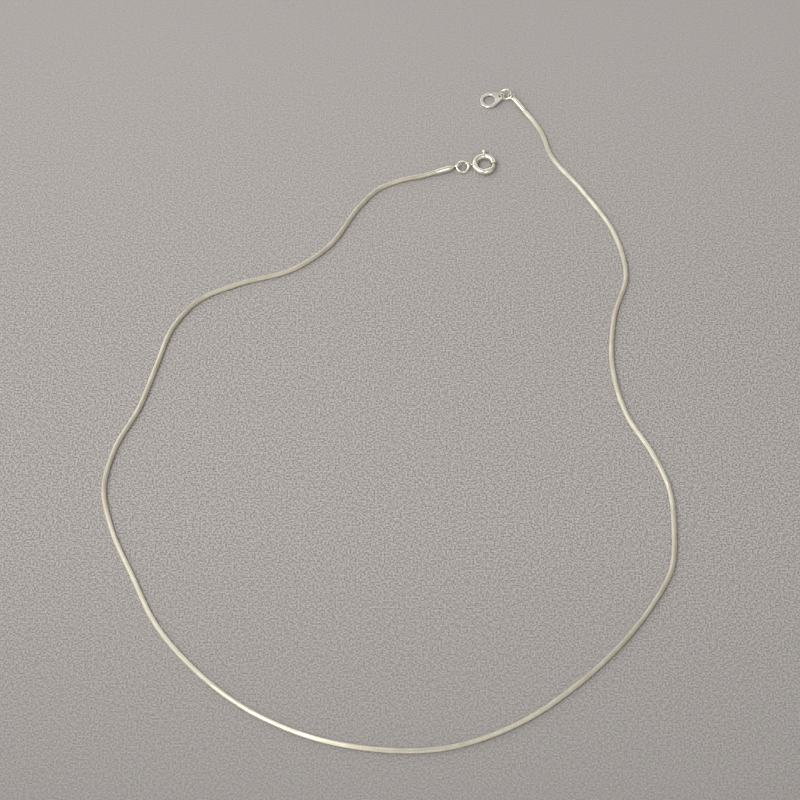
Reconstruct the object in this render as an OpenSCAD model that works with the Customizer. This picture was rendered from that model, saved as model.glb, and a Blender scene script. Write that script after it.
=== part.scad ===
// Snake chain necklace, opened and laid in a loose loop on a table.
// Millimetres. +X is to the right, +Y points away from the viewer, +Z is up.
// The table top is z = 0 and the origin lies under the middle of the loop's bounding box.

/* [Snake chain] */
// Length of chain between the two sleeves, measured from point to point of its route
chain_len = 388.4; // [340:0.1:480]
// Diameter of the chain across the edges of its eight facets
chain_d = 1; // [0.85:0.05:1.2]

/* [End sleeves] */
// Length from a sleeve's mouth to the middle of its eye
sleeve_len = 4.8; // [4.6:0.1:6.5]
// Outside diameter of a sleeve where it starts to flatten
sleeve_body_d = 1.4; // [1.3:0.05:1.55]
// Wall of a sleeve at its mouth
sleeve_wall = 0.08; // [0.06:0.01:0.12]
// Room around the chain inside a sleeve
chain_fit = 0.03; // [0.02:0.01:0.06]
// Length of chain held inside a sleeve
chain_grip = 2; // [1.5:0.1:2.3]
// Length of the flattened neck between a sleeve's round body and its eye
neck_len = 1.15; // [0.9:0.05:1.3]
// Outside diameter of the pierced eyes that the jump rings go through
eye_d = 1.6; // [1.5:0.05:1.8]
// Diameter of the hole in an eye
eye_hole_d = 1.05; // [1:0.01:1.15]
// Thickness of an eye
eye_t = 0.35; // [0.28:0.01:0.4]

/* [Jump rings] */
// Outside diameter of a jump ring
jump_d = 3; // [2.9:0.05:3.6]
// Wire diameter of a jump ring
jump_wire = 0.5; // [0.4:0.01:0.55]
// Height of the tag sleeve's eye above the wire of the ring that carries it
perch = 0.3; // [0.2:0.02:0.4]
// Lean of the standing jump ring from upright
stand_lean = 18; // [0:1:20]

/* [Spring ring] */
// Outside diameter of the spring ring
clasp_d = 5.5; // [5:0.1:7]
// Outside diameter of the tube that the spring ring is bent from
clasp_tube_d = 1.3; // [1.2:0.05:1.45]
// Wall of the tube
clasp_wall = 0.15; // [0.1:0.01:0.18]
// Room around the bolt inside the tube
bolt_fit = 0.1; // [0.06:0.01:0.15]
// Opening of the ring's mouth in degrees
mouth_deg = 46; // [36:1:48]
// Depth in degrees that the closed bolt reaches into the tube past the mouth
bolt_seat_deg = 3; // [2:0.5:6]
// Travel of the bolt in degrees
bolt_travel_deg = 50; // [50:1:56]
// Diameter of the ball on the lever
lever_ball_d = 1; // [0.8:0.05:1.2]
// Gap between the lever's ball and the outside of the ring
lever_gap = 0.12; // [0.08:0.02:0.3]
// Diameter of the lever's neck
lever_neck_d = 0.4; // [0.3:0.02:0.5]
// Room on each side of the lever's neck in its slot
slot_fit = 0.1; // [0.05:0.01:0.15]
// Distance between the outside of the spring ring and the hole of its eyelet
eyelet_land = 0.3; // [0.1:0.05:0.5]

/* [End tag] */
// Distance between the middles of the tag's two holes
tag_len = 2.8; // [2.6:0.05:3.5]
// Outside diameter of the tag's large end
tag_d = 4; // [3.8:0.1:4.6]
// Diameter of the hole that the clasp hooks into
tag_hole_d = 2.6; // [2:0.1:2.7]
// Outside diameter of the tag's small end
tag_small_d = 1.6; // [1.55:0.05:1.9]
// Thickness of the tag
tag_t = 0.5; // [0.4:0.05:0.6]
// Width of the bevel round the tag
tag_bevel = 0.12; // [0.05:0.01:0.15]

/* [Hidden] */
$fn = 48;

SILVER = [0.84, 0.83, 0.78];
POLISHED = [0.90, 0.90, 0.87];

// The middle of the chain, from one sleeve's mouth to the other's: x, y and rise.
// Rise is a share, 0 where the chain lies on the table and 1 at a sleeve's mouth.
// x and y are as laid at the length above, and another length widens or narrows the loop.
route = [
    [10.4, 56.1, 1], [7.6, 55.2, 0.75], [2.5, 54, 0.2],
    [-2.5, 51.5, 0], [-6, 47.5, 0], [-13, 36.5, 0], [-20, 31, 0],
    [-32, 27, 0], [-40, 23, 0], [-45, 16.5, 0], [-48, 7, 0],
    [-51, -3, 0], [-55.5, -13, 0], [-57, -22, 0], [-55, -30.5, 0],
    [-50, -41.5, 0], [-45, -51.5, 0], [-37.5, -60.5, 0], [-28.5, -68, 0],
    [-18, -73.5, 0], [-4, -77, 0], [11, -77, 0], [26, -71.5, 0],
    [36, -64.5, 0], [45, -56, 0], [52, -47, 0], [56, -39.5, 0],
    [57, -31, 0], [56.5, -21.5, 0], [53.5, -13.5, 0], [49, -5, 0],
    [46.5, 7.5, 0], [47.5, 19, 0], [50.5, 29.5, 0], [48.5, 40, 0],
    [42, 51.5, 0], [35.5, 61, 0], [33.8, 66.7, 0.05], [31.9, 70.3, 0.45],
    [30.1, 72.8, 1]
];
route_end = len(route) - 1;
route_steps = [for (i = [1 : route_end])
    norm([route[i][0] - route[i - 1][0], route[i][1] - route[i - 1][1]])];
loop_scale = chain_len / (route_steps * [for (step = route_steps) 1]);
chain_sides = 8;
long_span = 5;

// Plan directions, in degrees from +X
clasp_link_dir = 10;
clasp_dir = 3;
stand_dir = 0;
tag_dir = 198;

// Small distances: under what lies, beyond the chain's end in its sleeve, past a cut's faces
rest_gap = 0.02;
bore_end_gap = 0.3;
cut_over = 1;

// Shares of the eye's diameter and thickness that its neck and stem have
neck_w_share = 0.7;
neck_t_share = 0.92;
stem_share = 1.3;

jump_r = (jump_d - jump_wire) / 2;

// Heights of the chain's middle where it lies, and of the two sleeves' eyes
lie_z = chain_d / 2 * cos(180 / chain_sides);
clasp_eye_z = eye_d / 2 + rest_gap;
tag_eye_z = jump_wire + eye_t / 2 + perch;

// A sleeve points along the chain's last span, so the mouth's height follows from the eye's
function plan(i) = loop_scale * [route[i][0], route[i][1]];
function mouth_lift(eye_z, mouth, next) = (eye_z - lie_z)
    / (route[mouth][2] + (route[mouth][2] - route[next][2]) * sleeve_len / norm(plan(mouth) - plan(next)));
clasp_lift = mouth_lift(clasp_eye_z, 0, 1);
tag_lift = mouth_lift(tag_eye_z, route_end, route_end - 1);
function lift(i) = i < len(route) / 2 ? clasp_lift : tag_lift;
function place(i) = [plan(i)[0], plan(i)[1], lie_z + route[i][2] * lift(i)];
function unit(v) = v / norm(v);
function level(angle) = [cos(angle), sin(angle), 0];

// The route is one smooth curve: at each point its direction is the mean of the two
// spans that meet there, the shorter span counting for more.
function span(i) = norm(place(i + 1) - place(i));
function heading(i) =
    i == 0 ? unit(place(1) - place(0)) :
    i == route_end ? unit(place(i) - place(i - 1)) :
    (unit(place(i) - place(i - 1)) * span(i) + unit(place(i + 1) - place(i)) * span(i - 1))
        / (span(i - 1) + span(i));
function along(i, t) =
    (2 * t^3 - 3 * t^2 + 1) * place(i)
    + (t^3 - 2 * t^2 + t) * span(i) * heading(i)
    + (3 * t^2 - 2 * t^3) * place(i + 1)
    + (t^3 - t^2) * span(i) * heading(i + 1);
function slope(i, t) =
    unit((6 * t^2 - 6 * t) * (place(i) - place(i + 1))
    + (3 * t^2 - 4 * t + 1) * span(i) * heading(i)
    + (3 * t^2 - 2 * t) * span(i) * heading(i + 1));
function on_table(p) = [p[0], p[1], max(p[2], lie_z)];

// One ring of the chain's eight corners round a point, with a flat side down
function corner_angle(k) = (k + 0.5) * 360 / chain_sides;
function chain_ring(middle, ahead) =
    let(side = unit(cross(ahead, [0, 0, 1])), up = cross(side, ahead))
    [for (k = [0 : chain_sides - 1])
        middle + chain_d / 2 * (cos(corner_angle(k)) * side + sin(corner_angle(k)) * up)];

// The clasp's end: sleeve axis, eye, lying jump ring, eyelet, spring ring
clasp_mouth = place(0);
clasp_axis = unit(place(0) - place(1));
clasp_eye = clasp_mouth + sleeve_len * clasp_axis;
// The jump ring's middle lies off the line between the two eyes by this angle
slack_deg = 14;
lie_offset = jump_r * sin(slack_deg);
eyelet_at = [clasp_eye[0], clasp_eye[1], clasp_eye_z] + 2 * jump_r * cos(slack_deg) * level(clasp_link_dir);
lie_tilt = asin((clasp_eye_z - jump_wire / 2 - rest_gap) / (lie_offset + jump_r));
near_side = cos(lie_tilt) * level(clasp_link_dir - 90) - [0, 0, sin(lie_tilt)];
lying_ring_at = (clasp_eye + eyelet_at) / 2 + lie_offset * near_side;
// The clasp sleeve is rolled so that its eye faces along the tilted wire
clasp_eye_roll = 90 + asin(cos(slack_deg) * sin(lie_tilt));
clasp_ring_r = (clasp_d - clasp_tube_d) / 2;
eyelet_r = clasp_d / 2 + eyelet_land + eye_hole_d / 2;
clasp_at = eyelet_at + eyelet_r * level(clasp_dir);

// The tag's end: sleeve axis, eye, standing jump ring, tag
tag_mouth = place(route_end);
tag_axis = unit(tag_mouth - place(route_end - 1));
tag_eye = tag_mouth + sleeve_len * tag_axis;
stand_z = jump_r * cos(stand_lean) + jump_wire / 2 + rest_gap;
eye_drop = (tag_eye[2] - stand_z) / cos(stand_lean);
eye_reach = sqrt(jump_r^2 - eye_drop^2);
stand_up = cos(stand_lean) * [0, 0, 1] + sin(stand_lean) * level(stand_dir + 90);
standing_ring_at = tag_eye - eye_drop * stand_up - eye_reach * level(stand_dir);
tag_small_at = tag_eye - 2 * eye_reach * level(stand_dir);
tag_tilt = asin((tag_small_at[2] - tag_t / 2) / (tag_len + tag_d / 2));

// Spring ring angles, measured round its middle from the side away from its eyelet
mouth_from_deg = -48;
lever_deg = 87;
bolt_tail_deg = 8;
bolt_r = clasp_tube_d / 2 - clasp_wall - bolt_fit;
lever_r = clasp_d / 2 + lever_gap + lever_ball_d / 2;

// Rings of the tube: the ends inside the sleeves, one at each point, one more in a long span
module snake_chain() {
    stations = concat(
        [[clasp_mouth + chain_grip * clasp_axis, heading(0)]],
        [for (i = [0 : route_end - 1], t = span(i) < long_span ? [0] : [0, 0.5])
            [on_table(along(i, t)), slope(i, t)]],
        [[tag_mouth, heading(route_end)]],
        [[tag_mouth + chain_grip * tag_axis, heading(route_end)]]);
    points = [for (s = stations) each chain_ring(s[0], s[1])];
    last = len(stations) - 1;
    sides = [for (i = [0 : last - 1], k = [0 : chain_sides - 1])
        let(a = i * chain_sides + k, b = i * chain_sides + (k + 1) % chain_sides)
        [a, b, b + chain_sides, a + chain_sides]];
    near_cap = [[for (k = [chain_sides - 1 : -1 : 0]) k]];
    far_cap = [[for (k = [0 : chain_sides - 1]) last * chain_sides + k]];
    color(SILVER) polyhedron(points, concat(sides, near_cap, far_cap));
}

// A pierced disc with its hole along Z
module eye(thickness) {
    difference() {
        cylinder(h = thickness, d = eye_d, center = true);
        cylinder(h = thickness + cut_over, d = eye_hole_d, center = true);
    }
}

// A sleeve along +X from its mouth at the origin, with its eye flat in the XY plane
module sleeve() {
    bore_d = chain_d + 2 * chain_fit;
    body_len = sleeve_len - eye_d / 2 - neck_len;
    neck_end = sleeve_len - eye_hole_d / 2;
    neck_w = eye_d * neck_w_share;
    neck_t = eye_t * neck_t_share;
    difference() {
        union() {
            rotate([0, 90, 0])
                cylinder(h = body_len, d1 = bore_d + 2 * sleeve_wall, d2 = sleeve_body_d);
            hull() {
                translate([body_len - eye_t, 0, 0])
                    rotate([0, 90, 0])
                        cylinder(h = neck_t, d = sleeve_body_d - sleeve_wall / 2, $fn = 32);
                translate([neck_end - eye_t, -neck_w / 2, -neck_t / 2])
                    cube([eye_t, neck_w, neck_t]);
            }
            translate([sleeve_len, 0, 0])
                cylinder(h = eye_t, d = eye_d, center = true);
        }
        translate([-cut_over, 0, 0])
            rotate([0, 90, 0])
                cylinder(h = cut_over + chain_grip + bore_end_gap, d = bore_d);
        translate([sleeve_len, 0, 0])
            cylinder(h = eye_t + cut_over, d = eye_hole_d, center = true);
    }
}

// Turns +X onto a direction, then rolls about it
module point_along(direction, roll) {
    rotate([0, -asin(direction[2]), atan2(direction[1], direction[0])])
        rotate([roll, 0, 0])
            children();
}

module clasp_sleeve() {
    color(POLISHED)
        translate(clasp_mouth)
            point_along(clasp_axis, clasp_eye_roll)
                sleeve();
}

module tag_sleeve() {
    color(POLISHED)
        translate(tag_mouth)
            point_along(tag_axis, 0)
                sleeve();
}

module jump_ring() {
    rotate_extrude()
        translate([jump_r, 0])
            circle(d = jump_wire);
}

module clasp_jump_ring() {
    color(POLISHED)
        translate(lying_ring_at)
            rotate([0, 0, clasp_link_dir])
                rotate([lie_tilt, 0, 0])
                    jump_ring();
}

module tag_jump_ring() {
    color(POLISHED)
        translate(standing_ring_at)
            rotate([0, 0, stand_dir])
                rotate([90 - stand_lean, 0, 0])
                    jump_ring();
}

// Part of a ring with the given profile, from one angle through a turn
module arc_of(from_deg, turn_deg) {
    rotate([0, 0, from_deg])
        rotate_extrude(angle = turn_deg)
            children();
}

module spring_ring() {
    slot_half_deg = asin((lever_neck_d / 2 + slot_fit) / clasp_ring_r);
    slot_h = lever_neck_d + 2 * slot_fit;
    stem_from = (clasp_d - clasp_wall) / 2;
    stem_to = eyelet_r - eye_hole_d / 2 - eye_t / 4;
    color(POLISHED)
        translate(clasp_at)
            rotate([0, 0, clasp_dir])
                difference() {
                    union() {
                        arc_of(mouth_from_deg + mouth_deg, 360 - mouth_deg)
                            translate([clasp_ring_r, 0])
                                circle(d = clasp_tube_d);
                        translate([-eyelet_r, 0, 0])
                            rotate([90, 0, 0])
                                eye(eye_t);
                        translate([-stem_from, 0, 0])
                            rotate([0, -90, 0])
                                cylinder(h = stem_to - stem_from, d = eye_t * stem_share);
                    }
                    rotate_extrude()
                        translate([clasp_ring_r, 0])
                            circle(d = clasp_tube_d - 2 * clasp_wall);
                    arc_of(lever_deg - slot_half_deg, bolt_travel_deg + 2 * slot_half_deg)
                        translate([clasp_ring_r, -slot_h / 2])
                            square([clasp_tube_d, slot_h]);
                }
}

module ring_bolt() {
    bolt_from_deg = mouth_from_deg - bolt_seat_deg;
    color(SILVER)
        translate(clasp_at)
            rotate([0, 0, clasp_dir]) {
                arc_of(bolt_from_deg, lever_deg + bolt_tail_deg - bolt_from_deg)
                    translate([clasp_ring_r, 0])
                        circle(r = bolt_r);
                rotate([0, 0, lever_deg])
                    translate([clasp_ring_r, 0, 0])
                        rotate([0, 90, 0])
                            cylinder(h = lever_r - clasp_ring_r, d = lever_neck_d);
                rotate([0, 0, lever_deg])
                    translate([lever_r, 0, 0])
                        sphere(d = lever_ball_d);
            }
}

// A disc whose two rims are bevelled
module bevelled_disc(d) {
    cylinder(h = tag_t - 2 * tag_bevel, d = d, center = true, $fn = 64);
    cylinder(h = tag_t, d = d - 2 * tag_bevel, center = true, $fn = 64);
}

module end_tag() {
    color(POLISHED)
        translate(tag_small_at)
            rotate([0, tag_tilt, tag_dir])
                difference() {
                    hull() {
                        bevelled_disc(tag_small_d);
                        translate([tag_len, 0, 0]) bevelled_disc(tag_d);
                    }
                    cylinder(h = tag_t + cut_over, d = eye_hole_d, center = true);
                    translate([tag_len, 0, 0])
                        cylinder(h = tag_t + cut_over, d = tag_hole_d, center = true);
                }
}

snake_chain();
clasp_sleeve();
tag_sleeve();
clasp_jump_ring();
tag_jump_ring();
spring_ring();
ring_bolt();
end_tag();
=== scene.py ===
# %% [markdown]
# A fine silver snake chain, unclasped and laid in a loose loop on a pale table.
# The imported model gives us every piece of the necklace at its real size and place.
# We load it first, because each thing that we build has to sit on it exactly.

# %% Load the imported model
import math

import bpy
import bmesh
import numpy as np
from mathutils import Matrix, Vector


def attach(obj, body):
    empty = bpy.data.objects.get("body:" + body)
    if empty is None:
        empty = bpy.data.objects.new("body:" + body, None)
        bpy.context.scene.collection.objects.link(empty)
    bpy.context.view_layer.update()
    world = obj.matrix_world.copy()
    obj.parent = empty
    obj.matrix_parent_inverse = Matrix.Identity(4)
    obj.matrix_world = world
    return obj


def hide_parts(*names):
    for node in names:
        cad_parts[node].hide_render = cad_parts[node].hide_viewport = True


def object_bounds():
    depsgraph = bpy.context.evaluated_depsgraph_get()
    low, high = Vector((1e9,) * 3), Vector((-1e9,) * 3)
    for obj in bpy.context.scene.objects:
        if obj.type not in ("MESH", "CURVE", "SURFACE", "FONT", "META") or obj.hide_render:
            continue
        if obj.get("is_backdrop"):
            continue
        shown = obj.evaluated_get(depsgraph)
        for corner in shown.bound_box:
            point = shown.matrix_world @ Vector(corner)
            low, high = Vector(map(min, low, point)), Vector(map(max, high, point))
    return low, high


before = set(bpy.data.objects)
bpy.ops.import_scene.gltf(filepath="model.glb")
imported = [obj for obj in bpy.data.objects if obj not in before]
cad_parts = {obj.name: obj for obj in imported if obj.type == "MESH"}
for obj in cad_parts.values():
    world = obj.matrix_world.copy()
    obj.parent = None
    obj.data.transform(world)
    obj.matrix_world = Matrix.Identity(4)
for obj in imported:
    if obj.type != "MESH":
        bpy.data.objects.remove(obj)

MM = 0.001
scene = bpy.context.scene
cad_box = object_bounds()


def in_mm(values, digits=2):
    """Metres as rounded millimetres, for printing."""
    return [round(v / MM, digits) for v in values]


print("nodes:", sorted(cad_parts))
print("box of the model, mm:", [in_mm(corner) for corner in cad_box])

# %% [markdown]
# The photograph looks down at about 60 degrees, from far enough away that the near part of
# the loop is only a little larger than the far part. A long lens at 45 cm gives that look.
# We aim it at the middle of the loop, a little off the origin, as the photograph is framed.
# The standard view transform leaves the colours as they come out, so they are easy to compare.

# %% Camera
LENS_MM = 99.0
CAMERA_DISTANCE = 452.7 * MM
CAMERA_ELEVATION = math.radians(60)
AIM = Vector((2.5, -1.0, 0.0)) * MM
NEAR_LIMIT = 20 * MM

camera_data = bpy.data.cameras.new("camera")
camera_data.lens = LENS_MM
camera_data.clip_start = NEAR_LIMIT
camera = bpy.data.objects.new("camera", camera_data)
scene.collection.objects.link(camera)
towards_camera = Vector((0, -math.cos(CAMERA_ELEVATION), math.sin(CAMERA_ELEVATION)))
camera.location = AIM + CAMERA_DISTANCE * towards_camera
camera.rotation_euler = (math.pi / 2 - CAMERA_ELEVATION, 0, 0)
scene.camera = camera
scene.view_settings.view_transform = "Standard"
print("camera at, mm:", in_mm(camera.location, 1))

# %% [markdown]
# Silver has no colour of its own to speak of: it shows the room. So the room matters more
# than the metal. We build a soft studio in two steps. The first is a pale dome, brighter on the
# left, where a window would be, and dimmer on the right, which tells the chain's sides apart.
# A real room isn't even either: it has walls and furniture. A large, soft noise stands in for
# them, and gives the polished ring something darker to mirror between its highlights.

# %% Room
ROOM_BRIGHT = (1.0, 0.99, 0.97)
ROOM_MIDDLE = (0.72, 0.70, 0.67)
ROOM_DIM = (0.16, 0.14, 0.11)
WINDOW_SIDE = Vector((-0.56, -0.06, 0.82)).normalized()
# Cosine of the angle from the window's side beyond which the dome is as dim as it gets
DIM_BEYOND = -0.6
PATCH_SCALE = 1.7
PATCH_DETAIL = 1.0
# Noise values where a patch is darkest and brightest, and the light's strength there
PATCH_FROM = 0.42
PATCH_TO = 0.56
PATCH_DARK = 0.5
PATCH_BRIGHT = 1.28


def map_range(nodes, links, value, start, end, to_start=0.0, to_end=1.0):
    """The value moved from start..end to to_start..to_end, and held there outside of it."""
    spread = nodes.new("ShaderNodeMapRange")
    spread.inputs["From Min"].default_value = start
    spread.inputs["From Max"].default_value = end
    spread.inputs["To Min"].default_value = to_start
    spread.inputs["To Max"].default_value = to_end
    links.new(value, spread.inputs["Value"])
    return spread.outputs["Result"]


def make_room():
    """A dome whose light falls off with the angle from the window's side."""
    world = bpy.data.worlds.new("soft room")
    world.use_nodes = True
    nodes, links = world.node_tree.nodes, world.node_tree.links
    nodes.clear()
    place = nodes.new("ShaderNodeTexCoord")
    facing = nodes.new("ShaderNodeVectorMath")
    facing.operation = "DOT_PRODUCT"
    facing.inputs[1].default_value = WINDOW_SIDE
    links.new(place.outputs["Generated"], facing.inputs[0])

    ramp = nodes.new("ShaderNodeValToRGB")
    ramp.color_ramp.elements[0].color = (*ROOM_DIM, 1)
    ramp.color_ramp.elements[1].color = (*ROOM_BRIGHT, 1)
    middle = ramp.color_ramp.elements.new(0.5)
    middle.color = (*ROOM_MIDDLE, 1)
    links.new(map_range(nodes, links, facing.outputs["Value"], DIM_BEYOND, 1.0), ramp.inputs[0])

    patches = nodes.new("ShaderNodeTexNoise")
    patches.inputs["Scale"].default_value = PATCH_SCALE
    patches.inputs["Detail"].default_value = PATCH_DETAIL
    links.new(place.outputs["Generated"], patches.inputs["Vector"])
    noise_value = patches.outputs["Fac"]
    strength = map_range(nodes, links, noise_value, PATCH_FROM, PATCH_TO, PATCH_DARK, PATCH_BRIGHT)

    light = nodes.new("ShaderNodeBackground")
    out = nodes.new("ShaderNodeOutputWorld")
    links.new(ramp.outputs[0], light.inputs[0])
    links.new(strength, light.inputs["Strength"])
    links.new(light.outputs[0], out.inputs[0])
    scene.world = world


make_room()
print("brightest towards:", [round(v, 2) for v in WINDOW_SIDE])

# %% [markdown]
# The second step is four soft panels. A chain is a long mirror: a stretch of it flashes where
# the direction half way between the camera and a light stands square to it. So each panel picks
# the stretches that it lights. The far left panel gives the table its faint shadows, and the
# steep stretches on the right catch it. The near left panel makes the long white glint at lower
# left. A grid in front of it keeps its light together, so the table grows darker towards its
# corners. A light's spread does what the grid does. A small panel beyond the loop lifts the
# steep stretch on the left, and a faint one at near right puts the line on the clasp's sleeve.

# %% Light panels
PANEL_COLOUR = (1.0, 0.988, 0.97)


def add_panel(name, direction, distance, size, watts, aim=(0, 0, 0), spread_deg=180):
    """A square light panel that faces its aim from that direction."""
    data = bpy.data.lights.new(name, "AREA")
    data.shape = "SQUARE"
    data.size = size
    data.energy = watts
    data.color = PANEL_COLOUR
    data.spread = math.radians(spread_deg)
    panel = bpy.data.objects.new(name, data)
    panel.location = Vector(direction).normalized() * distance
    panel.rotation_euler = (panel.location - Vector(aim)).to_track_quat("Z", "Y").to_euler()
    scene.collection.objects.link(panel)


add_panel("far left panel", (-0.70, 0.20, 0.69), distance=0.6, size=0.25, watts=0.57)
add_panel("beyond left panel", (-0.50, 0.65, 0.57), distance=0.5, size=0.15, watts=0.005,
          aim=(-0.05, 0.01, 0), spread_deg=24)
add_panel("near right panel", (0.31, -0.45, 0.84), distance=0.8, size=0.18, watts=0.24)
add_panel("near left panel", (-0.41, -0.25, 0.87), distance=0.8, size=0.4, watts=0.34,
          aim=(0.02, 0.06, 0), spread_deg=50)

# %% [markdown]
# A finish is a small graph of nodes that ends in the principled shader. Beside map_range, which
# the room has already, ours share three helpers: an empty material, a noise and a blend of two
# colours. The noise is measured in the object's own metres, so a scratch keeps its real size on
# every piece.

# %% Helpers for finishes
BLEND_FROM = 0.35
BLEND_TO = 0.65


def new_material(name):
    """A new material, its nodes, its links and its principled shader."""
    material = bpy.data.materials.new(name)
    material.use_nodes = True
    nodes, links = material.node_tree.nodes, material.node_tree.links
    return material, nodes, links, nodes["Principled BSDF"]


def noise(nodes, links, scale, detail=3.0, stretch=(1, 1, 1)):
    """Noise in the object's own metres. scale is in cells a metre."""
    place = nodes.new("ShaderNodeTexCoord")
    turn = nodes.new("ShaderNodeMapping")
    turn.inputs["Scale"].default_value = stretch
    texture = nodes.new("ShaderNodeTexNoise")
    texture.inputs["Scale"].default_value = scale
    texture.inputs["Detail"].default_value = detail
    links.new(place.outputs["Object"], turn.inputs["Vector"])
    links.new(turn.outputs[0], texture.inputs["Vector"])
    return texture.outputs["Fac"]


def blend_colours(nodes, links, factor, first, second):
    """A colour that goes from first to second as factor crosses the blend's range."""
    ramp = nodes.new("ShaderNodeValToRGB")
    ramp.color_ramp.elements[0].position = BLEND_FROM
    ramp.color_ramp.elements[0].color = (*first, 1)
    ramp.color_ramp.elements[1].position = BLEND_TO
    ramp.color_ramp.elements[1].color = (*second, 1)
    links.new(factor, ramp.inputs[0])
    return ramp.outputs[0]


print("two colours blend between", BLEND_FROM, "and", BLEND_TO)

# %% [markdown]
# The table is a plain pale sheet. It isn't part of the necklace, so it is marked as stage.
# A faint grain keeps it from looking like an empty background. In the photograph the grain
# melts away towards the far and the near side, which are out of focus. We can have that
# without blurring anything: away from the sharp line the grain gives way to an even tone.
# That tone is a painted light falloff: painted darker on the near side, where the light falls
# off, and lighter on the far side.

# %% Table top
TABLE_PALE = (0.452, 0.430, 0.422)
TABLE_SHADE = (0.206, 0.195, 0.189)
# Painted light falloff: the even tone is painted darker on the near side and lighter on the far side
TABLE_NEAR_PAINTED_SHADE = (0.272, 0.259, 0.254)
TABLE_FAR_PAINTED_LIGHT = (0.350, 0.333, 0.327)
TABLE_ROUGHNESS = 0.9
TABLE_SHINE = 0.15
# The line where the grain is sharp, how far it stays so, and how far off only a share is left
SHARP_Y = -5 * MM
SHARP_REACH = 25 * MM
FAINT_REACH = 100 * MM
FAINT_GRAIN = 0.25
GRAIN_PER_M = 2800.0
GRAIN_DETAIL = 1.0
TABLE_HALF = 1.6
TABLE_GAP = 0.005 * MM


def table_finish():
    """Pale and grained along the sharp line; far from it an even tone with painted light falloff, darker
    on the near side.
    """
    material, nodes, links, shader = new_material("table")
    speckle = noise(nodes, links, GRAIN_PER_M, GRAIN_DETAIL)
    grain = blend_colours(nodes, links, speckle, TABLE_SHADE, TABLE_PALE)
    place = nodes.new("ShaderNodeTexCoord")
    split = nodes.new("ShaderNodeSeparateXYZ")
    links.new(place.outputs["Object"], split.inputs[0])
    side = map_range(nodes, links, split.outputs["Y"], -FAINT_REACH, FAINT_REACH)
    # painted light falloff: the tone is darker towards the near side and lighter towards the far side
    even = blend_colours(nodes, links, side, TABLE_NEAR_PAINTED_SHADE, TABLE_FAR_PAINTED_LIGHT)

    past = nodes.new("ShaderNodeMath")
    past.operation = "SUBTRACT"
    past.inputs[1].default_value = SHARP_Y
    links.new(split.outputs["Y"], past.inputs[0])
    off = nodes.new("ShaderNodeMath")
    off.operation = "ABSOLUTE"
    links.new(past.outputs[0], off.inputs[0])
    share = map_range(nodes, links, off.outputs[0], SHARP_REACH, FAINT_REACH, 1.0, FAINT_GRAIN)

    fade = nodes.new("ShaderNodeMix")
    fade.data_type = "RGBA"
    links.new(share, fade.inputs["Factor"])
    links.new(even, fade.inputs["A"])
    links.new(grain, fade.inputs["B"])
    links.new(fade.outputs["Result"], shader.inputs["Base Color"])
    shader.inputs["Roughness"].default_value = TABLE_ROUGHNESS
    shader.inputs["Specular IOR Level"].default_value = TABLE_SHINE
    return material


table_mesh = bpy.data.meshes.new("table")
corners = [(x * TABLE_HALF, y * TABLE_HALF, -TABLE_GAP)
           for x, y in ((-1, -1), (1, -1), (1, 1), (-1, 1))]
table_mesh.from_pydata(corners, [], [(0, 1, 2, 3)])
table = bpy.data.objects.new("table", table_mesh)
scene.collection.objects.link(table)
table.data.materials.append(table_finish())
table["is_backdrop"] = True
print("table:", 2 * TABLE_HALF, "m square")

# %% [markdown]
# The metal is sterling silver in three conditions: the chain's pressed bands, which have
# darkened a little in their joints, the polished findings, and drawn wire. All are the same
# recipe. A metal takes its highlight colour from its base colour, slightly warm here. A large,
# faint noise makes patches that are a touch duller, and a fine, stretched noise makes the
# hairline scratches that handling leaves. Where a mesh carries a joint value, it darkens.
# The chain was drawn through a die, which leaves fine lines along it. They spread a glint
# round the chain but not along it, so its shader is anisotropic and follows those lines.

# %% Silver
CHAIN_BRIGHT = (0.95, 0.91, 0.79)
CHAIN_DULL = (0.87, 0.82, 0.68)
POLISHED_BRIGHT = (0.96, 0.93, 0.84)
POLISHED_DULL = (0.89, 0.85, 0.73)
WIRE_BRIGHT = (0.95, 0.92, 0.81)
WIRE_DULL = (0.88, 0.83, 0.70)
TARNISH = (0.34, 0.29, 0.19)
PATCHES_PER_M = 420.0
PATCHES_DETAIL = 2.0
# Where handling has worn or dulled the metal, its roughness is this share of the usual
SMOOTHEST = 0.75
ROUGHEST = 1.3
WEAR_PER_M = 1500.0
WEAR_DETAIL = 4.0
HAIRLINES_PER_M = 9000.0
HAIRLINES_DETAIL = 5.0
HAIRLINES_STRETCH = (1.0, 0.12, 1.0)
HAIRLINE_DEPTH = 0.004 * MM


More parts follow.
